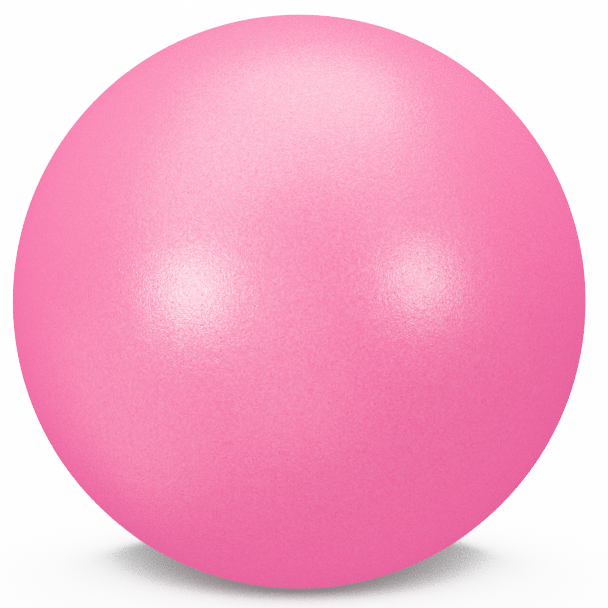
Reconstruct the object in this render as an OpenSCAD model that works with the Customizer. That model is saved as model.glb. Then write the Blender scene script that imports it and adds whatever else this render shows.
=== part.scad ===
// Soft inflatable exercise ball with a push-in plug valve.
// Millimetres. The origin is the ball's centre and +Z is up. The valve looks along +Y.
// Every piece is turned about the valve's axis, so each is drawn in a valve frame whose
// +Z runs from the ball's centre out through the valve, and is then laid along +Y.

/* [Ball] */
// Outside diameter of the inflated ball
ball_d = 250; // [200:10:300]
// Thickness of the vinyl skin
skin_t = 0.7; // [0.5:0.1:1.2]
// Width of the raised moulding seam that runs round the ball
seam_w = 1.2; // [0.8:0.1:2]
// Height of the moulding seam above the skin
seam_h = 0.15; // [0.1:0.05:0.3]

/* [Valve pocket] */
// Diameter of the round pocket that the valve lies in
pocket_d = 20; // [18:1:26]
// Width of the bevel round the pocket's mouth
pocket_bevel = 0.6; // [0.4:0.1:1]
// Thickness of the skin between the valve seat's two flanges
web_t = 1.4; // [1:0.1:2]
// Diameter of the hole in the skin that the valve seat passes through
neck_d = 12; // [10:0.5:13]
// How much wider than the pocket the thickened skin is, on each side
boss_rim = 4; // [3:0.5:8]

/* [Valve seat] */
// Diameter of the hole that the plug and the inflation straw go in
bore_d = 5; // [4.6:0.1:5.4]
// Thickness of the flange that is seen in the pocket
face_flange_t = 1; // [0.8:0.1:1.4]
// Thickness of the flange that grips the skin from inside
grip_flange_t = 1.2; // [1:0.1:1.6]
// Diameter of the flange that grips the skin from inside
grip_flange_d = 17; // [15:0.5:18]
// Length of the barrel below the inner flange
barrel_l = 9; // [8:0.5:12]
// Diameter of the barrel
barrel_d = 9.6; // [8.5:0.1:10]

/* [Valve plug] */
// Diameter of the plug's head
head_d = 12; // [10:0.5:13]
// Thickness of the plug's head
head_t = 1.4; // [1.2:0.1:2]
// Radius of the head's rounded edge
head_round = 0.5; // [0.3:0.1:0.6]
// Diameter of the plug's stem between its sealing rings
stem_d = 4.1; // [3.6:0.1:4.2]
// Length of the stem under the head, with its tip
stem_l = 16.5; // [15:0.5:20]
// Gap between the sealing rings and the bore, on each side
ring_gap = 0.05; // [0.03:0.01:0.1]
// Height of each sealing ring along the stem
ring_h = 1.2; // [1:0.1:1.6]
// Number of sealing rings
ring_count = 3; // [2:1:3]

/* [Hidden] */
$fn = 192;

skin_pink = [0.945, 0.46, 0.66];
seat_pink = [0.93, 0.40, 0.62];
plug_white = [0.95, 0.94, 0.93];

ball_r = ball_d / 2;
cavity_r = ball_r - skin_t;

// Heights along the valve's axis, from the ball's centre: the plug's crown is at ball_r.
face_z = ball_r - head_t;               // the valve seat's face, which the head lies on
pocket_z = face_z - face_flange_t;      // the pocket's floor
web_z = pocket_z - web_t;               // the flat inner face of the thickened skin
barrel_top_z = web_z - grip_flange_t;   // where the barrel leaves the inner flange
barrel_end_z = barrel_top_z - barrel_l; // the barrel's inner end

pocket_r = pocket_d / 2;
rim_z = sqrt(ball_r * ball_r - pocket_r * pocket_r); // where the pocket's wall meets the ball
boss_r = pocket_r + boss_rim;
boss_taper = 2;                         // the thickened skin widens by this towards the wall
bore_r = bore_d / 2;
edge_bevel = 0.4;                       // broken edges on the barrel and at the bore's mouth

ring_r = bore_r - ring_gap;
ring_round = ring_h / 2;
ring_first = 3.6;                       // depth of the first ring's middle below the head
ring_pitch = 3.6;                       // spacing of the rings along the stem
tip_l = 2.6;                            // length of the stem's tapered tip
tip_r = 1.1;                            // radius of the tip's round end

overshoot = 1;                          // how far a cutter runs past what it cuts

// Lays a shape from the valve frame along +Y.
module along_valve() {
    rotate([-90, 0, 0]) children();
}

// A plain disc or tube end from z0 up to z1, for stacking turned shapes.
module disc(r, z0, z1) {
    translate([0, 0, z0]) cylinder(r = r, h = z1 - z0);
}

// A cone frustum from radius r0 at z0 to radius r1 at z1.
module taper(r0, z0, r1, z1) {
    translate([0, 0, z0]) cylinder(r1 = r0, r2 = r1, h = z1 - z0);
}

// The raised line where the mould's two halves met, a great circle square to the valve.
module moulding_seam() {
    rotate_extrude() polygon([
        [ball_r - seam_h, -0.75 * seam_w],
        [ball_r + seam_h, -0.25 * seam_w],
        [ball_r + seam_h, 0.25 * seam_w],
        [ball_r - seam_h, 0.75 * seam_w],
    ]);
}

// The air space: a sphere, less the boss of thicker skin that stands in it round the valve.
module air_space() {
    difference() {
        sphere(r = cavity_r);
        taper(boss_r, web_z, boss_r + boss_taper, ball_r);
    }
}

// The hollow vinyl skin, one moulding, with the pocket and the hole for the valve seat.
module ball_skin() {
    color(skin_pink) along_valve() difference() {
        union() {
            sphere(r = ball_r);
            moulding_seam();
        }
        air_space();
        disc(pocket_r, pocket_z, ball_r + overshoot);
        taper(pocket_r, rim_z - pocket_bevel, pocket_r + 2 * pocket_bevel, rim_z + pocket_bevel);
        disc(neck_d / 2, web_z - overshoot, ball_r);
    }
}

// The soft valve seat: a grommet with a face flange, a neck, an inner flange and a barrel.
module valve_seat() {
    barrel_r = barrel_d / 2;
    color(seat_pink) along_valve() difference() {
        union() {
            disc(pocket_r, pocket_z, face_z);
            disc(neck_d / 2, web_z, pocket_z);
            disc(grip_flange_d / 2, barrel_top_z, web_z);
            disc(barrel_r, barrel_end_z + edge_bevel, barrel_top_z);
            taper(barrel_r - edge_bevel, barrel_end_z, barrel_r, barrel_end_z + edge_bevel);
        }
        disc(bore_r, barrel_end_z - overshoot, face_z + overshoot);
        taper(bore_r, face_z - edge_bevel, bore_r + 2 * edge_bevel, face_z + edge_bevel);
    }
}

// Half of the head's outline: a flat underside and a rounded upper edge.
module head_outline() {
    head_r = head_d / 2;
    translate([0, face_z]) {
        square([head_r, head_t - head_round]);
        square([head_r - head_round, head_t]);
        translate([head_r - head_round, head_t - head_round]) circle(r = head_round);
    }
}

// One sealing ring, a rounded collar on the stem.
module sealing_ring(z) {
    translate([0, 0, z]) rotate_extrude() {
        translate([ring_r - ring_round, 0]) circle(r = ring_round);
        translate([0, -ring_round]) square([ring_r - ring_round, ring_h]);
    }
}

// The push-in plug: a thin head and a ringed stem that ends in a tapered tip.
module valve_plug() {
    stem_r = stem_d / 2;
    tip_z = face_z - stem_l;
    color(plug_white) along_valve() {
        rotate_extrude() head_outline();
        disc(stem_r, tip_z + tip_l, face_z);
        taper(tip_r, tip_z + tip_r, stem_r, tip_z + tip_l);
        translate([0, 0, tip_z + tip_r]) sphere(r = tip_r);
        for (i = [0 : ring_count - 1]) {
            sealing_ring(face_z - ring_first - i * ring_pitch);
        }
    }
}

ball_skin();
valve_seat();
valve_plug();
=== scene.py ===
"""A small soft exercise ball with a push-in plug valve, lying on a plain pale floor.

The ball's skin, the valve seat and the plug are turned shapes. Each is a half outline that a
Screw modifier turns about the valve's axis, +Y, at the frame's origin, the ball's centre.
"""

import logging
import math
from dataclasses import dataclass, field
from enum import Enum

import bpy
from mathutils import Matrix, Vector


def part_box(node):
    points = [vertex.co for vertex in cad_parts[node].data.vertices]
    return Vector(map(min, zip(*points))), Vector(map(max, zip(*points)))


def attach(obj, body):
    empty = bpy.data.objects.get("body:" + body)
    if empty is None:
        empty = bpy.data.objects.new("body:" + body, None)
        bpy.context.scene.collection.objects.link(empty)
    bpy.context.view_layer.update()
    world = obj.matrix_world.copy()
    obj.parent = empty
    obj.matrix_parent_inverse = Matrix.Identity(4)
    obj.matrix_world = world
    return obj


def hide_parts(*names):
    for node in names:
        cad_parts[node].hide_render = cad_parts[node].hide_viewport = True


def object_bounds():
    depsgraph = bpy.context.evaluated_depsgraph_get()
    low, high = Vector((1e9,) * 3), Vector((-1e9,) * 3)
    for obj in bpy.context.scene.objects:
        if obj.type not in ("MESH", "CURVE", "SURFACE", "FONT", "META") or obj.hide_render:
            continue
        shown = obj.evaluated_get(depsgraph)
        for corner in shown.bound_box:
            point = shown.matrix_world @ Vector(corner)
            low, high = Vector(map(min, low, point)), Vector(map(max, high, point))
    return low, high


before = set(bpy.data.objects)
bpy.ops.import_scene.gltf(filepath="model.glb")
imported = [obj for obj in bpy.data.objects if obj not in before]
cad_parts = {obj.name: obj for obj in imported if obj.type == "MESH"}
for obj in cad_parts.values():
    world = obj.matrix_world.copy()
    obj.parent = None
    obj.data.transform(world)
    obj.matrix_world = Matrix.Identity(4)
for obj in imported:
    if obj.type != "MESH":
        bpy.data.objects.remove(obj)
CAD_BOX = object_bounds()

MM = 0.001
Outline = list[tuple[float, float]]
Colour = tuple[float, float, float]
Socket = bpy.types.NodeSocket
Ports = bpy.types.bpy_prop_collection

log = logging.getLogger("exercise_ball")


# ---------------------------------------------------------------- turned shapes


@dataclass(frozen=True)
class Corner:
    """One corner of a turned outline.

    Attributes:
        radius: Distance from the valve's axis.
        height: Distance along the valve's axis from the ball's centre.
        rounding: Radius of the round that breaks the corner, or 0 for a sharp one.
    """

    radius: float
    height: float
    rounding: float = 0.0


def rounded_outline(corners: list[Corner], segments: int = 5) -> Outline:
    """Joins corners with straight lines and rounds the corners that ask for it.

    Args:
        corners: The corners in order. The first and the last are never rounded.
        segments: How many short lines make up each round.

    Returns:
        The outline's points, as pairs of radius and height.
    """
    points: Outline = []
    for index, corner in enumerate(corners):
        here = Vector((corner.radius, corner.height))
        if corner.rounding <= 0.0 or index in (0, len(corners) - 1):
            points.append(tuple(here))
            continue
        before = corners[index - 1]
        after = corners[index + 1]
        to_before = (Vector((before.radius, before.height)) - here).normalized()
        to_after = (Vector((after.radius, after.height)) - here).normalized()
        half_angle = to_before.angle(to_after) / 2.0
        reach = corner.rounding / math.tan(half_angle)
        centre = here + (to_before + to_after).normalized() * (corner.rounding / math.sin(half_angle))
        first = here + to_before * reach - centre
        last = here + to_after * reach - centre
        for step in range(segments + 1):
            share = step / segments
            spoke = (first * (1.0 - share) + last * share).normalized()
            points.append(tuple(centre + spoke * corner.rounding))
    return points


def arc_outline(radius: float, start: float, end: float, segments: int) -> Outline:
    """Points along an arc about the ball's centre.

    Args:
        radius: The arc's radius.
        start: Angle of the first point from the pole opposite the valve, in radians.
        end: Angle of the last point.
        segments: How many short lines make up the arc.

    Returns:
        The arc's points, as pairs of radius and height.
    """
    points: Outline = []
    for step in range(segments + 1):
        angle = start + (end - start) * step / segments
        points.append((max(radius * math.sin(angle), 0.0), -radius * math.cos(angle)))
    return points


def turned_piece(name: str, outline: Outline, steps: int, closed: bool) -> bpy.types.Object:
    """Makes a piece by turning a half outline about +Y with a live Screw modifier.

    Args:
        name: The piece's name.
        outline: Pairs of radius and height, in the order that faces the surface outwards.
        steps: How many steps a full turn takes.
        closed: Whether the outline's last point joins its first, as in a ring.

    Returns:
        The new object, at the origin.
    """
    count = len(outline)
    edges = [(index, index + 1) for index in range(count - 1)]
    if closed:
        edges.append((count - 1, 0))
    mesh = bpy.data.meshes.new(name)
    mesh.from_pydata([(radius, height, 0.0) for radius, height in outline], edges, [])
    piece = bpy.data.objects.new(name, mesh)
    bpy.context.scene.collection.objects.link(piece)
    turn = piece.modifiers.new("Turn", "SCREW")
    turn.axis = "Y"
    turn.angle = math.tau
    turn.steps = steps
    turn.render_steps = steps
    turn.use_merge_vertices = True
    turn.merge_threshold = 0.004 * MM
    turn.use_smooth_shade = True
    weigh = piece.modifiers.new("Even shading", "WEIGHTED_NORMAL")
    weigh.keep_sharp = True
    return piece


# ---------------------------------------------------------------- shader effects


class Sockets(Enum):
    """Kinds of socket that a shared effect takes or gives."""

    VALUE = "NodeSocketFloat"
    VECTOR = "NodeSocketVector"


class NodeBoard:
    """Short calls for adding and wiring shader nodes."""

    def __init__(self, tree: bpy.types.NodeTree) -> None:
        """Starts on a node tree, which it empties."""
        self.tree = tree
        self.tree.nodes.clear()

    def add(self, kind: str, **settings: object) -> bpy.types.Node:
        """Adds a node and sets its properties.

        Args:
            kind: The node's type name.
            **settings: Properties of the node, by name.

        Returns:
            The new node.
        """
        node = self.tree.nodes.new(kind)
        for key, value in settings.items():
            setattr(node, key, value)
        return node

    def wire(self, source: Socket, target: Socket) -> None:
        """Links one socket to another."""
        self.tree.links.new(source, target)

    def feed(self, value: "Socket | float", target: Socket) -> None:
        """Links a socket to an input, or sets the input to a number.

        Args:
            value: A socket or a number.
            target: The input that takes it.
        """
        if isinstance(value, Socket):
            self.wire(value, target)
        else:
            target.default_value = value

    def maths(
        self, operation: str, first: "Socket | float", second: "Socket | float" = 0.0, clamp: bool = False
    ) -> Socket:
        """Adds a Math node.

        Args:
            operation: The node's operation.
            first: A socket or a number.
            second: A socket or a number.
            clamp: Whether the result is held between 0 and 1.

        Returns:
            The node's output socket.
        """
        node = self.add("ShaderNodeMath", operation=operation, use_clamp=clamp)
        for socket, value in zip(node.inputs, (first, second)):
            self.feed(value, socket)
        return node.outputs[0]

    def noise(self, vector: Socket, scale: "Socket | float", detail: float) -> Socket:
        """Adds a Noise Texture node.

        Args:
            vector: The socket that gives the position.
            scale: A socket or a number.
            detail: How many octaves the noise has.

        Returns:
            The node's factor socket.
        """
        node = self.add("ShaderNodeTexNoise")
        self.wire(vector, node.inputs["Vector"])
        self.feed(scale, node.inputs["Scale"])
        node.inputs["Detail"].default_value = detail
        return node.outputs["Fac"]

    def blend(self, amount: Socket, first: "Socket | Colour", second: "Socket | Colour") -> Socket:
        """Adds a Mix node for colours.

        Args:
            amount: The socket of the second colour's share.
            first: A colour, or the socket of one.
            second: A colour, or the socket of one.

        Returns:
            The socket of the mixed colour.
        """
        node = self.add("ShaderNodeMix", data_type="RGBA")
        self.wire(amount, node.inputs["Factor"])
        colours = [socket for socket in node.inputs if socket.type == "RGBA"]
        for target, value in zip(colours, (first, second)):
            self.feed(value if isinstance(value, Socket) else (*value, 1.0), target)
        return next(socket for socket in node.outputs if socket.type == "RGBA")

    def bump(self, height: Socket, strength: float, distance: float) -> Socket:
        """Adds a Bump node.

        Args:
            height: The socket of the height.
            strength: How strong the bump is.
            distance: How far a height of 1 stands up.

        Returns:
            The socket of the bumped normal.
        """
        node = self.add("ShaderNodeBump")
        node.inputs["Strength"].default_value = strength
        node.inputs["Distance"].default_value = distance
        self.wire(height, node.inputs["Height"])
        return node.outputs["Normal"]


class Effect:
    """A shader node group with named inputs and outputs, built once and shared.

    Attributes:
        name: The node group's name.
        takes: The inputs' kinds and first values, by name.
        gives: The outputs' names.
    """

    name = "Effect"
    takes: dict[str, tuple[Sockets, float]] = {}
    gives: tuple[str, ...] = ()

    def group(self) -> bpy.types.NodeTree:
        """Returns the node group, building it the first time.

        Returns:
            The shared node group.
        """
        ready = bpy.data.node_groups.get(self.name)
        if ready is not None:
            return ready
        tree = bpy.data.node_groups.new(self.name, "ShaderNodeTree")
        tree.interface.new_socket("Position", in_out="INPUT", socket_type=Sockets.VECTOR.value)
        for label, (kind, value) in self.takes.items():
            socket = tree.interface.new_socket(label, in_out="INPUT", socket_type=kind.value)
            socket.default_value = value
        for label in self.gives:
            tree.interface.new_socket(label, in_out="OUTPUT", socket_type=Sockets.VALUE.value)
        board = NodeBoard(tree)
        self.fill(board, board.add("NodeGroupInput").outputs, board.add("NodeGroupOutput").inputs)
        return tree

    def fill(self, board: NodeBoard, takes: Ports, gives: Ports) -> None:
        """Wires the effect between the group's inputs and outputs."""
        raise NotImplementedError

    def place(self, board: NodeBoard, position: Socket, **values: float) -> bpy.types.Node:
        """Puts the effect into a material.

        Args:
            board: The material's node board.
            position: The socket that gives Object coordinates.
            **values: The effect's inputs, with spaces in their names as underscores.

        Returns:
            The group node.
        """
        node = board.add("ShaderNodeGroup", node_tree=self.group())
        board.wire(position, node.inputs["Position"])
        for label, value in values.items():
            node.inputs[label.replace("_", " ")].default_value = value
        return node


class PebbleGrain(Effect):
    """The leather-like grain that a mould gives to soft vinyl: fine pebbles, creases and pores.

    Attributes:
        flow_share: Scale of the noise that bends the creases, as a share of the creases' own.
        flow_reach: How far it bends them, in crease sizes.
        jitter_reach: How far the pebbles are pushed about, in pebble sizes.
        pebble_softness: How softly the pebbles run together.
        crease_gain: How steep the creases' sides are.
        pore_sink: How deep the deepest pore goes, as a share of the grain's height.
        pore_gain: How far pores are deepened before they are held to their full depth.
    """

    name = "Pebble grain"
    takes = {
        "Pebble Size": (Sockets.VALUE, 0.7 * MM),
        "Crease Size": (Sockets.VALUE, 1.4 * MM),
        "Crease Share": (Sockets.VALUE, 0.5),
        "Pore Spacing": (Sockets.VALUE, 1.5 * MM),
        "Pore Size": (Sockets.VALUE, 0.55 * MM),
    }
    gives = ("Height", "Pore", "Pebble")
    flow_share: float = 0.2
    flow_reach: float = 4.0
    jitter_reach: float = 0.8
    pebble_softness: float = 0.3
    crease_gain: float = 5.0
    pore_sink: float = 0.5
    pore_gain: float = 1.8

    def fill(self, board: NodeBoard, takes: Ports, gives: Ports) -> None:
        """Wires the grain: pebbles from cells, creases from drawn-out noise, pores from spots.

        Args:
            board: The group's node board.
            takes: The group input's sockets.
            gives: The group output's sockets.
        """
        position = takes["Position"]
        pebble_scale = board.maths("DIVIDE", 1.0, takes["Pebble Size"])
        crease_scale = board.maths("DIVIDE", 1.0, takes["Crease Size"])
        flow_scale = board.maths("MULTIPLY", crease_scale, self.flow_share)
        flow = board.maths("MULTIPLY", takes["Crease Size"], self.flow_reach)
        flowing = self.shifted(board, position, flow_scale, flow)
        jitter = board.maths("MULTIPLY", takes["Pebble Size"], self.jitter_reach)
        jittered = self.shifted(board, position, pebble_scale, jitter)
        cells = board.add("ShaderNodeTexVoronoi", feature="SMOOTH_F1")
        board.wire(jittered, cells.inputs["Vector"])
        board.wire(pebble_scale, cells.inputs["Scale"])
        cells.inputs["Smoothness"].default_value = self.pebble_softness
        pebble = board.maths("SUBTRACT", 1.0, cells.outputs["Distance"], clamp=True)
        noise = board.noise(flowing, crease_scale, 1.0)
        ridge = board.maths("ABSOLUTE", board.maths("SUBTRACT", noise, 0.5))
        crease = board.maths("MULTIPLY", ridge, self.crease_gain, clamp=True)
        mixed = board.add("ShaderNodeMix", data_type="FLOAT")
        board.wire(takes["Crease Share"], mixed.inputs["Factor"])
        board.wire(pebble, mixed.inputs["A"])
        board.wire(crease, mixed.inputs["B"])
        pore = self.pores(board, takes)
        sunk = board.maths("MULTIPLY", pore, self.pore_sink)
        board.wire(board.maths("SUBTRACT", mixed.outputs["Result"], sunk), gives["Height"])
        board.wire(pore, gives["Pore"])
        board.wire(mixed.outputs["Result"], gives["Pebble"])

    def shifted(self, board: NodeBoard, position: Socket, scale: Socket, reach: Socket) -> Socket:
        """Pushes a position about by coloured noise, so that a pattern on it looks unruled.

        Args:
            board: The group's node board.
            position: The socket of the position.
            scale: The socket of the noise's scale.
            reach: The socket of the widest push.

        Returns:
            The socket of the pushed position.
        """
        push = board.add("ShaderNodeTexNoise")
        board.wire(position, push.inputs["Vector"])
        board.wire(scale, push.inputs["Scale"])
        push.inputs["Detail"].default_value = 1.0
        sized = board.add("ShaderNodeVectorMath", operation="SCALE")
        board.wire(push.outputs["Color"], sized.inputs[0])
        board.wire(reach, sized.inputs["Scale"])
        moved = board.add("ShaderNodeVectorMath", operation="ADD")
        board.wire(position, moved.inputs[0])
        board.wire(sized.outputs[0], moved.inputs[1])
        return moved.outputs[0]

    def pores(self, board: NodeBoard, takes: Ports) -> Socket:
        """Makes soft round spots of random depth.

        Args:
            board: The group's node board.
            takes: The group input's sockets.

        Returns:
            The socket of the pores' depth, from 0 to 1.
        """
        spots = board.add("ShaderNodeTexVoronoi", feature="F1")
        board.wire(takes["Position"], spots.inputs["Vector"])
        board.wire(board.maths("DIVIDE", 1.0, takes["Pore Spacing"]), spots.inputs["Scale"])
        away = board.maths("MULTIPLY", spots.outputs["Distance"], takes["Pore Spacing"])
        reach = board.maths("DIVIDE", away, takes["Pore Size"])
        bowl = board.maths("SUBTRACT", 1.0, board.maths("MULTIPLY", reach, reach), clamp=True)
        shade = board.add("ShaderNodeSeparateColor")
        board.wire(spots.outputs["Color"], shade.inputs[0])
        uneven = board.maths("MULTIPLY", shade.outputs[0], shade.outputs[0])
        return board.maths("MULTIPLY", board.maths("MULTIPLY", bowl, uneven), self.pore_gain, clamp=True)


class Mottle(Effect):
    """Faint cloudy unevenness, for pigment, gloss and fine relief."""

    name = "Mottle"
    takes = {"Patch Size": (Sockets.VALUE, 30.0 * MM), "Contrast": (Sockets.VALUE, 1.0)}
    gives = ("Amount",)

    def fill(self, board: NodeBoard, takes: Ports, gives: Ports) -> None:
        """Wires soft noise, stretched about its middle.

        Args:
            board: The group's node board.
            takes: The group input's sockets.
            gives: The group output's sockets.
        """
        scale = board.maths("DIVIDE", 1.0, takes["Patch Size"])
        noise = board.noise(takes["Position"], scale, 3.0)
        centred = board.maths("SUBTRACT", noise, 0.5)
        stretched = board.maths("MULTIPLY", centred, takes["Contrast"])
        board.wire(board.maths("ADD", stretched, 0.5, clamp=True), gives["Amount"])


class Specks(Effect):
    """Sparse tiny specks of pigment or dust."""

    name = "Specks"
    takes = {"Spacing": (Sockets.VALUE, 25.0 * MM), "Speck Size": (Sockets.VALUE, 0.5 * MM)}
    gives = ("Amount",)

    def fill(self, board: NodeBoard, takes: Ports, gives: Ports) -> None:
        """Wires the middles of wide cells, thinned by each cell's own random shade.

        Args:
            board: The group's node board.
            takes: The group input's sockets.
            gives: The group output's sockets.
        """
        scale = board.maths("DIVIDE", 1.0, takes["Spacing"])
        cells = board.add("ShaderNodeTexVoronoi", feature="F1")
        board.wire(takes["Position"], cells.inputs["Vector"])
        board.wire(scale, cells.inputs["Scale"])
        away = board.maths("MULTIPLY", cells.outputs["Distance"], takes["Spacing"])
        inside = board.maths("LESS_THAN", away, takes["Speck Size"])
        shade = board.add("ShaderNodeSeparateColor")
        board.wire(cells.outputs["Color"], shade.inputs[0])
        board.wire(board.maths("MULTIPLY", inside, shade.outputs[0]), gives["Amount"])


# ---------------------------------------------------------------- finishes


@dataclass(frozen=True)
class Finish:
    """What every finish of the ball shares.

    Attributes:
        name: The material's name.
        slot: The record's material slot. Not used.
        colour: The pigment, in linear light.
        roughness: How matt the surface is.
        specular: The reflection's level.
    """

    name: str
    slot: str
    colour: Colour
    roughness: float
    specular: float = 0.5

    def material(self) -> bpy.types.Material:
        """Builds the finish's node material.

        Returns:
            The new material.
        """
        made = bpy.data.materials.new(self.name)
        made.use_nodes = True
        made.diffuse_color = (*self.colour, 1.0)
        board = NodeBoard(made.node_tree)
        output = board.add("ShaderNodeOutputMaterial")
        shader = board.add("ShaderNodeBsdfPrincipled")
        board.wire(shader.outputs["BSDF"], output.inputs["Surface"])
        shader.inputs["Base Color"].default_value = (*self.colour, 1.0)
        shader.inputs["Roughness"].default_value = self.roughness
        shader.inputs["Specular IOR Level"].default_value = self.specular
        position = board.add("ShaderNodeTexCoord").outputs["Object"]
        self.detail(board, shader, position)
        return made

    def detail(self, board: NodeBoard, shader: bpy.types.Node, position: Socket) -> None:
        """Adds the finish's own pattern to the shader."""
        raise NotImplementedError

    def dress(self, piece: bpy.types.Object) -> None:
        """Gives a piece this finish.

        Args:
            piece: The piece to dress.
        """
        piece.data.materials.clear()
        piece.data.materials.append(self.material())

    def shaded(self, board: NodeBoard, amount: Socket, darker: float, lighter: float) -> Socket:
        """Makes the pigment a little darker or lighter by an amount.

        Args:
            board: The material's node board.
            amount: A socket from 0, darker, to 1, lighter.
            darker: The pigment's multiple at 0.
            lighter: The pigment's multiple at 1.

        Returns:
            The socket of the shaded colour.
        """
        dark = tuple(min(part * darker, 1.0) for part in self.colour)
        light = tuple(min(part * lighter, 1.0) for part in self.colour)
        return board.blend(amount, dark, light)


@dataclass(frozen=True)
class GrainedVinyl(Finish):
    """Soft vinyl with a moulded grain under a satin film, which is thin in the grain's hollows, with painted
    shade: darker pink at the bottom of the hollows.

    Attributes:
        pebble: Width of a pebble.
        crease: Spacing of the creases.
        depth: Height of the grain.
        film_ior: The film's refractive index, which sets how strong the satin gloss is.
        film_roughness: How matt the film is.
        hollow_shade_colour: Painted shade, the darker pink put at the bottom of the hollows, in linear
            light.
        hollow_start: The grain's height below which the film starts to thin.
        hollow_end: The grain's height at which a valley is at its deepest.
        valley_depth: How much of the film a valley takes away. A pore can take all of it.
        hollow_shade_tint: How much of the painted shade shows at the bottom of a hollow.
        speck_colour: The specks' pigment, in linear light.
        speck_tint: How much of the specks' pigment shows.
        gloss_swing: How far the roughness wanders, from end to end.
    """

    pebble: float = 0.7 * MM
    crease: float = 1.4 * MM
    depth: float = 0.07 * MM
    film_ior: float = 1.7
    film_roughness: float = 0.42
    hollow_shade_colour: Colour = (0.78, 0.05, 0.22)
    hollow_start: float = 0.56
    hollow_end: float = 0.32
    valley_depth: float = 0.6
    hollow_shade_tint: float = 0.45
    speck_colour: Colour = (0.55, 0.02, 0.12)
    speck_tint: float = 0.9
    gloss_swing: float = 0.08

    def detail(self, board: NodeBoard, shader: bpy.types.Node, position: Socket) -> None:
        """Adds grain, the satin film, mottled pigment and gloss, painted shade in the hollows, and a few
        specks.

        Args:
            board: The material's node board.
            shader: The material's Principled BSDF.
            position: The socket that gives Object coordinates.
        """
        grain = PebbleGrain().place(board, position, Pebble_Size=self.pebble, Crease_Size=self.crease)
        bumped = board.bump(grain.outputs["Height"], strength=1.0, distance=self.depth)
        board.wire(bumped, shader.inputs["Normal"])
        board.wire(bumped, shader.inputs["Coat Normal"])

        hollow = self.hollows(board, grain)
        board.wire(board.maths("SUBTRACT", 1.0, hollow, clamp=True), shader.inputs["Coat Weight"])
        shader.inputs["Coat IOR"].default_value = self.film_ior
        shader.inputs["Coat Roughness"].default_value = self.film_roughness

        clouds = Mottle().place(board, position, Patch_Size=35.0 * MM, Contrast=1.2)
        pigment = self.shaded(board, clouds.outputs["Amount"], darker=0.97, lighter=1.03)
        # Painted shade: the pigment is blended towards a darker, deeper pink at the bottom of the hollows
        # and pores.
        pigment_with_painted_shade = board.blend(board.maths("MULTIPLY", hollow, self.hollow_shade_tint), pigment, self.hollow_shade_colour)
        specks = Specks().place(board, position, Spacing=26.0 * MM, Speck_Size=0.5 * MM)
        speck = board.maths("MULTIPLY", specks.outputs["Amount"], self.speck_tint)
        board.wire(board.blend(speck, pigment_with_painted_shade, self.speck_colour), shader.inputs["Base Color"])

        patches = Mottle().place(board, position, Patch_Size=12.0 * MM, Contrast=1.0)
        uneven = board.maths("MULTIPLY", patches.outputs["Amount"], self.gloss_swing)
        smoothest = self.roughness - self.gloss_swing / 2.0
        board.wire(board.maths("ADD", uneven, smoothest), shader.inputs["Roughness"])

    def hollows(self, board: NodeBoard, grain: bpy.types.Node) -> Socket:
        """Finds the grain's hollows, its valleys and its pores, which thin the film and carry the painted
        shade.

        Args:
            board: The material's node board.
            grain: The grain's group node.

        Returns:
            The socket of the hollows' depth, from 0 to 1.
        """
        valley = board.add("ShaderNodeMapRange", clamp=True)
        board.wire(grain.outputs["Pebble"], valley.inputs["Value"])
        valley.inputs["From Min"].default_value = self.hollow_start
        valley.inputs["From Max"].default_value = self.hollow_end
        shallow = board.maths("MULTIPLY", valley.outputs["Result"], self.valley_depth)
        return board.maths("MAXIMUM", shallow, grain.outputs["Pore"])


@dataclass(frozen=True)
class SmoothVinyl(Finish):
    """Smooth moulded vinyl with faint ripples from the mould."""

    def detail(self, board: NodeBoard, shader: bpy.types.Node, position: Socket) -> None:
        """Adds faint ripples and mottled pigment.

        Args:
            board: The material's node board.
            shader: The material's Principled BSDF.
            position: The socket that gives Object coordinates.
        """
        ripples = Mottle().place(board, position, Patch_Size=1.5 * MM, Contrast=1.0)
        rippled = board.bump(ripples.outputs["Amount"], strength=0.6, distance=0.02 * MM)
        board.wire(rippled, shader.inputs["Normal"])
        clouds = Mottle().place(board, position, Patch_Size=5.0 * MM, Contrast=1.5)
        pigment = self.shaded(board, clouds.outputs["Amount"], darker=0.94, lighter=1.04)
        board.wire(pigment, shader.inputs["Base Color"])


@dataclass(frozen=True)
class MouldedPlastic(Finish):
    """Hard white plastic from a lightly spark-eroded mould."""

    def detail(self, board: NodeBoard, shader: bpy.types.Node, position: Socket) -> None:
        """Adds a very fine texture and mottled pigment.

        Args:
            board: The material's node board.
            shader: The material's Principled BSDF.
            position: The socket that gives Object coordinates.
        """
        texture = Mottle().place(board, position, Patch_Size=0.25 * MM, Contrast=1.0)
        textured = board.bump(texture.outputs["Amount"], strength=0.5, distance=0.008 * MM)
        board.wire(textured, shader.inputs["Normal"])
        clouds = Mottle().place(board, position, Patch_Size=3.0 * MM, Contrast=1.5)
        pigment = self.shaded(board, clouds.outputs["Amount"], darker=0.95, lighter=1.02)
        board.wire(pigment, shader.inputs["Base Color"])


# ---------------------------------------------------------------- the ball


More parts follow.
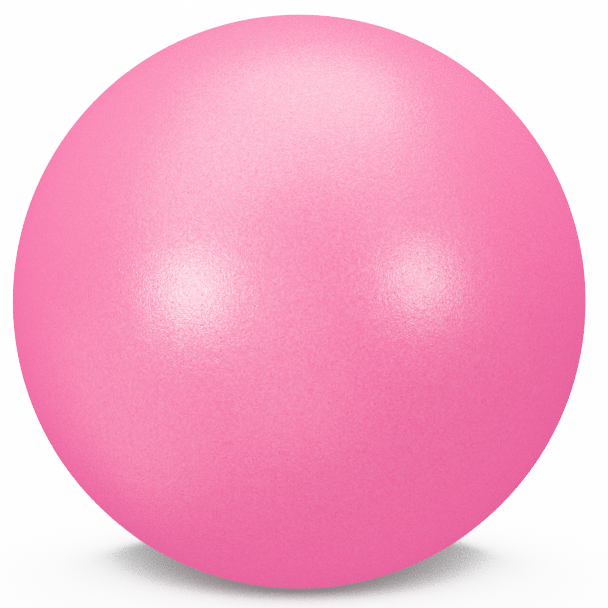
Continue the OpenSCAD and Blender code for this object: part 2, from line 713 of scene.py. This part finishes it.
@dataclass
class BallSkin:
    """The hollow vinyl skin, with its moulding seam, valve pocket and thicker valve boss.

    Attributes:
        finish: The skin's finish.
        wall: Thickness of the wall.
        seam_width: Width of the seam's ridge.
        pocket_radius: Radius of the pocket that holds the seat.
        pocket_round: Round of the pocket's rim.
        seat_flange: Thickness of the seat's flange, which stands on the pocket's floor.
        web: Thickness of the pocket's floor, round the hole.
        neck_radius: Radius of the hole for the seat's neck.
        boss_radius: Radius of the boss inside the ball.
        boss_foot: Radius at which the boss runs into the wall.
        turn_steps: How many steps a full turn takes.
        radius: The ball's radius, from the frame.
        seam_height: How far the seam stands up, from the frame.
        pocket_floor: Height of the pocket's floor, from the frame.
    """

    finish: Finish
    wall: float = 0.7 * MM
    seam_width: float = 1.2 * MM
    pocket_radius: float = 10.0 * MM
    pocket_round: float = 0.6 * MM
    seat_flange: float = 1.0 * MM
    web: float = 1.4 * MM
    neck_radius: float = 6.0 * MM
    boss_radius: float = 14.0 * MM
    boss_foot: float = 15.2 * MM
    turn_steps: int = 192
    radius: float = field(init=False)
    seam_height: float = field(init=False)
    pocket_floor: float = field(init=False)

    def __post_init__(self) -> None:
        """Reads the ball's radius, the seam's height and the pocket's depth from the frame."""
        low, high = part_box("ball_skin")
        self.radius = -low[1]
        self.seam_height = high[0] - self.radius
        self.pocket_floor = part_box("valve_seat")[1][1] - self.seat_flange

    def seam_outline(self, segments: int = 10) -> Outline:
        """The seam's low rounded ridge, a raised cosine on the ball's own curve.

        Args:
            segments: How many short lines make up the ridge.

        Returns:
            The ridge's points, towards the valve.
        """
        points: Outline = []
        for step in range(1, segments):
            along = step / segments - 0.5
            height = along * self.seam_width
            lift = self.seam_height * 0.5 * (1.0 + math.cos(math.tau * along))
            points.append((math.sqrt(self.radius**2 - height**2) + lift, height))
        return points

    def valve_outline(self) -> Outline:
        """The pocket's rim, wall and floor, the hole, and the boss's underside.

        Returns:
            The points, from the ball's outside to its inside.
        """
        under = self.pocket_floor - self.web
        rim = math.sqrt(self.radius**2 - self.pocket_radius**2)
        reach = self.pocket_radius + 2.0 * self.pocket_round
        inner = self.radius - self.wall
        foot = math.sqrt(inner**2 - self.boss_foot**2)
        return rounded_outline(
            [
                Corner(reach, math.sqrt(self.radius**2 - reach**2)),
                Corner(self.pocket_radius, rim, self.pocket_round),
                Corner(self.pocket_radius, self.pocket_floor),
                Corner(self.neck_radius, self.pocket_floor),
                Corner(self.neck_radius, under),
                Corner(self.boss_radius, under, 0.4 * MM),
                Corner(self.boss_foot, foot),
            ]
        )

    def outline(self) -> Outline:
        """The whole half outline, in the order that faces the surface outwards.

        Returns:
            The inside from the pole opposite the valve to the boss, the valve's pocket, and the
            outside back to that pole.
        """
        seam_edge = math.asin(self.seam_width / 2.0 / self.radius)
        reach = self.pocket_radius + 2.0 * self.pocket_round
        rim_angle = math.pi - math.asin(reach / self.radius)
        inner = self.radius - self.wall
        foot_angle = math.pi - math.asin(self.boss_foot / inner)
        equator = math.pi / 2.0
        points = arc_outline(self.radius, 0.0, equator - seam_edge, 64)
        points += self.seam_outline()
        points += arc_outline(self.radius, equator + seam_edge, rim_angle, 60)[:-1]
        points += self.valve_outline()[:-1]
        points += arc_outline(inner, foot_angle, 0.0, 96)
        return list(reversed(points))

    def build(self) -> bpy.types.Object:
        """Makes the skin and puts it in place of its CAD node.

        Returns:
            The finished piece.
        """
        piece = turned_piece("grained_skin", self.outline(), self.turn_steps, closed=False)
        self.finish.dress(piece)
        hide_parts("ball_skin")
        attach(piece, "ball")
        return piece


@dataclass
class ValveSeat:
    """The soft grommet in the pocket, with the bore that the plug goes in.

    Attributes:
        finish: The seat's finish.
        flange: Thickness of the outer flange.
        web: Thickness of the pocket's floor, which the two flanges hold between them.
        neck_radius: Radius of the neck between the flanges.
        grip_flange: Thickness of the inner flange.
        grip_radius: Radius of the inner flange.
        barrel_radius: Radius of the barrel that points into the ball.
        bore_radius: Radius of the bore.
        groove_radius: Radius of the fine groove in the face.
        groove_depth: Depth of the groove.
        groove_half_width: Half the groove's width.
        turn_steps: How many steps a full turn takes.
        face: Height of the outer face, from the frame.
        inner_end: Height of the barrel's end, from the frame.
        radius: Radius of the outer flange, from the frame.
    """

    finish: Finish
    flange: float = 1.0 * MM
    web: float = 1.4 * MM
    neck_radius: float = 6.0 * MM
    grip_flange: float = 1.2 * MM
    grip_radius: float = 8.5 * MM
    barrel_radius: float = 4.8 * MM
    bore_radius: float = 2.5 * MM
    groove_radius: float = 7.6 * MM
    groove_depth: float = 0.2 * MM
    groove_half_width: float = 0.35 * MM
    turn_steps: int = 128
    face: float = field(init=False)
    inner_end: float = field(init=False)
    radius: float = field(init=False)

    def __post_init__(self) -> None:
        """Reads the seat's radius and its two ends from the frame."""
        low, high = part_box("valve_seat")
        self.radius = high[0]
        self.face = high[1]
        self.inner_end = low[1]

    def outline(self) -> Outline:
        """The closed half outline: the bore, the grooved face, the two flanges and the barrel.

        Returns:
            The points, out along the bore and back down the outside.
        """
        floor = self.face - self.flange
        under = floor - self.web
        grip = under - self.grip_flange
        groove = self.face - self.groove_depth
        corners = [
            Corner(self.bore_radius, self.inner_end + 1.0 * MM),
            Corner(self.bore_radius, self.face, 0.45 * MM),
            Corner(self.groove_radius - self.groove_half_width, self.face, 0.1 * MM),
            Corner(self.groove_radius, groove, 0.12 * MM),
            Corner(self.groove_radius + self.groove_half_width, self.face, 0.1 * MM),
            Corner(self.radius, self.face, 0.2 * MM),
            Corner(self.radius, floor, 0.1 * MM),
            Corner(self.neck_radius, floor),
            Corner(self.neck_radius, under),
            Corner(self.grip_radius, under, 0.1 * MM),
            Corner(self.grip_radius, grip, 0.4 * MM),
            Corner(self.barrel_radius, grip),
            Corner(self.barrel_radius, self.inner_end, 0.4 * MM),
            Corner(self.bore_radius, self.inner_end),
        ]
        return rounded_outline(corners)

    def build(self) -> bpy.types.Object:
        """Makes the seat and puts it in place of its CAD node.

        Returns:
            The finished piece.
        """
        piece = turned_piece("valve_grommet", self.outline(), self.turn_steps, closed=True)
        self.finish.dress(piece)
        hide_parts("valve_seat")
        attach(piece, "ball")
        return piece


@dataclass
class ValvePlug:
    """The push-in plug: a thin head, a ringed stem and a rounded tip.

    Attributes:
        finish: The plug's finish.
        head_thickness: Thickness of the head.
        head_round: Round of the head's edge.
        gate_radius: Radius of the dimple that the mould's gate leaves.
        gate_depth: Depth of the dimple.
        stem_radius: Radius of the stem between its rings.
        ring_radius: Radius of the sealing rings.
        ring_height: Height of a ring along the stem.
        ring_first: From the head's underside to the first ring's middle.
        ring_pitch: From one ring's middle to the next.
        ring_count: How many rings there are.
        tip_length: Length of the taper and the round end.
        tip_radius: Radius of the round end.
        turn_steps: How many steps a full turn takes.
        crown: Height of the head's top, from the frame.
        tip: Height of the stem's end, from the frame.
        head_radius: Radius of the head, from the frame.
    """

    finish: Finish
    head_thickness: float = 1.4 * MM
    head_round: float = 0.5 * MM
    gate_radius: float = 0.9 * MM
    gate_depth: float = 0.12 * MM
    stem_radius: float = 2.05 * MM
    ring_radius: float = 2.45 * MM
    ring_height: float = 1.2 * MM
    ring_first: float = 3.6 * MM
    ring_pitch: float = 3.6 * MM
    ring_count: int = 3
    tip_length: float = 2.6 * MM
    tip_radius: float = 1.1 * MM
    turn_steps: int = 96
    crown: float = field(init=False)
    tip: float = field(init=False)
    head_radius: float = field(init=False)

    def __post_init__(self) -> None:
        """Reads the plug's crown, tip and head from the frame."""
        low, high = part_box("valve_plug")
        self.head_radius = high[0]
        self.crown = high[1]
        self.tip = low[1]

    def head_outline(self) -> Outline:
        """The head: the gate's dimple, the flat crown, the rounded edge and the underside.

        Returns:
            The points, from the head's middle to the stem.
        """
        seat = self.crown - self.head_thickness
        dimple = self.crown - self.gate_depth
        return rounded_outline(
            [
                Corner(0.0, dimple),
                Corner(self.gate_radius - 0.2 * MM, dimple, 0.1 * MM),
                Corner(self.gate_radius, self.crown, 0.1 * MM),
                Corner(self.head_radius, self.crown, self.head_round),
                Corner(self.head_radius, seat, 0.15 * MM),
                Corner(self.stem_radius, seat),
            ]
        )

    def ring_outline(self, middle: float, segments: int = 10) -> Outline:
        """One sealing ring's bulge, a half circle flattened to the ring's own height.

        Args:
            middle: The height of the ring's middle.
            segments: How many short lines make up the bulge.

        Returns:
            The bulge's points, from its outer end to its inner end.
        """
        points: Outline = []
        swell = self.ring_radius - self.stem_radius
        for step in range(segments + 1):
            angle = math.pi * step / segments
            height = middle + 0.5 * self.ring_height * math.cos(angle)
            points.append((self.stem_radius + swell * math.sin(angle), height))
        return points

    def tip_outline(self, segments: int = 8) -> Outline:
        """The taper and the round end, which closes on the axis.

        Args:
            segments: How many short lines make up the round end.

        Returns:
            The points, from the taper to the axis.
        """
        points: Outline = [(self.stem_radius, self.tip + self.tip_length)]
        for step in range(segments + 1):
            angle = math.pi / 2.0 * step / segments
            height = self.tip + self.tip_radius * (1.0 - math.sin(angle))
            points.append((max(self.tip_radius * math.cos(angle), 0.0), height))
        return points

    def outline(self) -> Outline:
        """The whole half outline: the head, the ringed stem and the tip.

        Returns:
            The points, from the head's middle to the tip.
        """
        points = self.head_outline()
        seat = self.crown - self.head_thickness
        for ring in range(self.ring_count):
            points += self.ring_outline(seat - self.ring_first - ring * self.ring_pitch)
        points += self.tip_outline()
        return points

    def build(self) -> bpy.types.Object:
        """Makes the plug and puts it in place of its CAD node.

        Returns:
            The finished piece.
        """
        piece = turned_piece("valve_stopper", self.outline(), self.turn_steps, closed=False)
        self.finish.dress(piece)
        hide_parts("valve_plug")
        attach(piece, "plug")
        return piece


# ---------------------------------------------------------------- the studio


class LampShape(Enum):
    """Outlines of a studio lamp's face."""

    SOFTBOX = "SQUARE"
    DISH = "DISK"


class Lights(Enum):
    """What a studio lamp lights: the ball's gloss, its pigment, both, or the floor alone."""

    GLOSS = "gloss"
    PIGMENT = "pigment"
    BALL = "ball"
    FLOOR = "floor"


@dataclass(frozen=True)
class Lamp:
    """A studio lamp that faces the ball.

    Attributes:
        name: The lamp's name.
        azimuth: Degrees to the right of the viewer, about the ball.
        elevation: Degrees above the horizon.
        distance: Distance from the ball's centre.
        size: Width of the lamp's face.
        power: The lamp's power in watts.
        shape: The outline of its face.
        lights: What it lights.
        spread: Degrees over which its light fans out. A grid on the lamp makes it narrow.
        aim: The point that it faces.
    """

    name: str
    azimuth: float
    elevation: float
    distance: float
    size: float
    power: float
    shape: LampShape = LampShape.DISH
    lights: Lights = Lights.GLOSS
    spread: float = 180.0
    aim: tuple[float, float, float] = (0.0, 0.0, 0.0)

    def build(self, floor: bpy.types.Object) -> bpy.types.Object:
        """Makes the lamp.

        Args:
            floor: The floor, which the lamp either lights alone or leaves out.

        Returns:
            The new light object.
        """
        light = bpy.data.lights.new(self.name, "AREA")
        light.shape = self.shape.value
        light.size = self.size
        light.energy = self.power
        light.spread = math.radians(self.spread)
        turn = math.radians(self.azimuth)
        rise = math.radians(self.elevation)
        towards = Vector((math.sin(turn) * math.cos(rise), -math.cos(turn) * math.cos(rise), math.sin(rise)))
        lamp = bpy.data.objects.new(self.name, light)
        lamp.location = towards * self.distance
        lamp.rotation_euler = (lamp.location - Vector(self.aim)).to_track_quat("Z", "Y").to_euler()
        bpy.context.scene.collection.objects.link(lamp)
        receivers = bpy.data.collections.new(self.name)
        receivers.objects.link(floor)
        whose = "INCLUDE" if self.lights is Lights.FLOOR else "EXCLUDE"
        receivers.collection_objects[0].light_linking.link_state = whose
        lamp.light_linking.receiver_collection = receivers
        lamp.visible_camera = False
        lamp.visible_diffuse = self.lights is not Lights.GLOSS
        lamp.visible_glossy = self.lights is not Lights.PIGMENT
        return lamp


@dataclass
class Studio:
    """The pale floor, the white surroundings, the lamps and the camera.

    Attributes:
        lamps: The studio's lamps.
        ambient: Strength of the even light from the surroundings.
        mirrored: Strength of the surroundings in the ball's gloss.
        mirrored_colour: Colour of the surroundings in the ball's gloss.
        backdrop_glow: Strength of the surroundings to the camera.
        floor_reach: Radius of the floor, where it has faded to clear.
        floor_fade: Radius at which the floor starts to fade.
        floor_white: How much of the light the floor gives back.
        floor_glow: The floor's own light.
        floor_sides: How many sides the floor's edge has.
        camera_elevation: Degrees of the camera above the horizon.
        camera_distance: Distance of the camera, in ball radii.
        ball_share: The ball's width as a share of the view's.
        aim_right: How far right of the ball's centre the camera aims, in ball widths.
        aim_down: How far below the ball's centre it aims, in ball widths.
        radius: The ball's radius, from the frame.
        floor_height: Height of the floor, from the frame.
    """

    lamps: tuple[Lamp, ...]
    ambient: float = 1.53
    mirrored: float = 0.8
    mirrored_colour: Colour = (1.0, 0.2, 0.5)
    backdrop_glow: float = 12.0
    floor_reach: float = 0.22
    floor_fade: float = 0.1
    floor_white: float = 0.12
    floor_glow: Colour = (0.215, 0.25, 0.244)
    floor_sides: int = 64
    camera_elevation: float = 6.5
    camera_distance: float = 8.5
    ball_share: float = 0.944
    aim_right: float = 0.0083
    aim_down: float = 0.0043
    radius: float = field(init=False)
    floor_height: float = field(init=False)

    def __post_init__(self) -> None:
        """Reads the ball's radius and the floor's height from the frame."""
        self.radius = -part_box("ball_skin")[0][1]
        self.floor_height = CAD_BOX[0][2]

    def build_floor(self) -> bpy.types.Object:
        """Makes the floor, a disc that fades into the white surroundings.

        Returns:
            The floor.
        """
        mesh = bpy.data.meshes.new("pale_floor")
        rim = []
        for side in range(self.floor_sides):
            angle = math.tau * side / self.floor_sides
            across = self.floor_reach * math.cos(angle)
            along = self.floor_reach * math.sin(angle)
            rim.append((across, along, self.floor_height))
        mesh.from_pydata(rim, [], [tuple(range(self.floor_sides))])
        floor = bpy.data.objects.new("pale_floor", mesh)
        bpy.context.scene.collection.objects.link(floor)
        floor.data.materials.append(self.floor_material())
        floor.visible_diffuse = False
        floor.visible_glossy = False
        floor.visible_transmission = False
        floor.visible_shadow = False
        return floor

    def floor_material(self) -> bpy.types.Material:
        """Builds the white of a table that is lit from below, which fades to clear away from the ball.

        Returns:
            The new material.
        """
        made = bpy.data.materials.new("pale floor")
        made.use_nodes = True
        board = NodeBoard(made.node_tree)
        output = board.add("ShaderNodeOutputMaterial")
        white = board.add("ShaderNodeBsdfDiffuse")
        white.inputs["Color"].default_value = (*(self.floor_white,) * 3, 1.0)
        lit_from_below = board.add("ShaderNodeEmission")
        lit_from_below.inputs["Color"].default_value = (*self.floor_glow, 1.0)
        both = board.add("ShaderNodeAddShader")
        board.wire(white.outputs[0], both.inputs[0])
        board.wire(lit_from_below.outputs[0], both.inputs[1])
        level = board.add("ShaderNodeVectorMath", operation="MULTIPLY")
        board.wire(board.add("ShaderNodeTexCoord").outputs["Object"], level.inputs[0])
        level.inputs[1].default_value = (1.0, 1.0, 0.0)
        away = board.add("ShaderNodeVectorMath", operation="LENGTH")
        board.wire(level.outputs[0], away.inputs[0])
        fade = board.add("ShaderNodeMapRange", interpolation_type="SMOOTHSTEP")
        board.wire(away.outputs["Value"], fade.inputs["Value"])
        fade.inputs["From Min"].default_value = self.floor_fade
        fade.inputs["From Max"].default_value = self.floor_reach
        clear = board.add("ShaderNodeBsdfTransparent")
        whole = board.add("ShaderNodeMixShader")
        board.wire(fade.outputs["Result"], whole.inputs[0])
        board.wire(both.outputs[0], whole.inputs[1])
        board.wire(clear.outputs[0], whole.inputs[2])
        board.wire(whole.outputs[0], output.inputs["Surface"])
        return made

    def build_surroundings(self) -> None:
        """Makes the world: white to the camera, even light on the ball, and its own pink in the gloss."""
        world = bpy.data.worlds.new("white studio")
        bpy.context.scene.world = world
        world.use_nodes = True
        board = NodeBoard(world.node_tree)
        output = board.add("ShaderNodeOutputWorld")
        glow = board.add("ShaderNodeBackground")
        glow.inputs["Strength"].default_value = self.backdrop_glow
        soft = board.add("ShaderNodeBackground")
        soft.inputs["Strength"].default_value = self.ambient
        mirrored = board.add("ShaderNodeBackground")
        mirrored.inputs["Color"].default_value = (*self.mirrored_colour, 1.0)
        mirrored.inputs["Strength"].default_value = self.mirrored
        rays = board.add("ShaderNodeLightPath").outputs
        unseen = board.add("ShaderNodeMixShader")
        board.wire(rays["Is Glossy Ray"], unseen.inputs[0])
        board.wire(soft.outputs[0], unseen.inputs[1])
        board.wire(mirrored.outputs[0], unseen.inputs[2])
        mix = board.add("ShaderNodeMixShader")
        board.wire(rays["Is Camera Ray"], mix.inputs[0])
        board.wire(unseen.outputs[0], mix.inputs[1])
        board.wire(glow.outputs[0], mix.inputs[2])
        board.wire(mix.outputs[0], output.inputs["Surface"])

    def build_camera(self) -> bpy.types.Object:
        """Makes the camera: a long lens that the ball nearly fills.

        Returns:
            The camera.
        """
        data = bpy.data.cameras.new("camera")
        data.sensor_width = 36.0
        spread = math.tan(math.asin(1.0 / self.camera_distance))
        data.lens = 0.5 * data.sensor_width * self.ball_share / spread
        data.clip_end = 50.0
        camera = bpy.data.objects.new("camera", data)
        rise = math.radians(self.camera_elevation)
        back = Vector((0.0, -math.cos(rise), math.sin(rise)))
        up = Vector((0.0, math.sin(rise), math.cos(rise)))
        aim = 2.0 * self.radius * (self.aim_right * Vector((1.0, 0.0, 0.0)) - self.aim_down * up)
        camera.location = aim + back * self.camera_distance * self.radius
        camera.rotation_euler = back.to_track_quat("Z", "Y").to_euler()
        bpy.context.scene.collection.objects.link(camera)
        bpy.context.scene.camera = camera
        return camera

    def build(self) -> None:
        """Makes the whole studio and sets how its light is shown."""
        floor = self.build_floor()
        self.build_surroundings()
        for lamp in self.lamps:
            lamp.build(floor)
        self.build_camera()
        scene = bpy.context.scene
        scene.view_settings.view_transform = "Khronos PBR Neutral"
        scene.cycles.use_denoising = False


LAMPS = (
    Lamp("overhead", 107.0, 84.0, 1.3, 0.9, 20.0, LampShape.SOFTBOX, Lights.BALL),
    Lamp("wide_overhead", 0.0, 80.0, 1.3, 1.5, 41.0, LampShape.SOFTBOX),
    Lamp("left_spot", -37.0, 9.8, 0.548, 0.121, 0.14, spread=30.0, aim=(-0.042, -0.116, 0.018)),
    Lamp("right_spot", 42.1, 12.7, 0.546, 0.09, 0.053, spread=30.0, aim=(0.048, -0.114, 0.022)),
    Lamp("upper_left", -50.0, 50.0, 1.6, 1.2, 30.0, LampShape.SOFTBOX, Lights.BALL),
    Lamp("upper_right", 50.0, 55.0, 1.6, 1.2, 9.0, LampShape.SOFTBOX),
    Lamp("front_fill", -12.0, 10.0, 2.5, 1.5, 14.0, LampShape.SOFTBOX),
    Lamp("rear_key", 150.0, 32.0, 1.3, 0.4, 10.0, LampShape.SOFTBOX, Lights.PIGMENT),
    Lamp("low_front", -6.0, -28.0, 1.6, 1.2, 6.5, LampShape.SOFTBOX),
    Lamp("low_left", -75.0, -30.0, 1.6, 1.6, 11.0, LampShape.SOFTBOX),
    Lamp("floor_lamp", 0.0, 40.0, 1.2, 1.2, 640.0, LampShape.SOFTBOX, Lights.FLOOR),
)


def main() -> None:
    """Builds the ball, piece by piece, and the studio, and reports each piece."""
    logging.basicConfig(level=logging.INFO, format="%(name)s: %(message)s")
    skin = GrainedVinyl("satin pink vinyl", "skin_vinyl", (0.80, 0.147, 0.357), 0.33, 0.5)
    seat = SmoothVinyl("smooth pink vinyl", "seat_vinyl", (0.78, 0.09, 0.29), 0.32, 0.5)
    plug = MouldedPlastic("white plug plastic", "plug_plastic", (0.70, 0.69, 0.67), 0.34, 0.5)
    for part in (BallSkin(skin), ValveSeat(seat), ValvePlug(plug)):
        piece = part.build()
        log.info("%s: %s", type(part).__name__, piece.name)
    Studio(LAMPS).build()


if __name__ == "__main__":
    main()
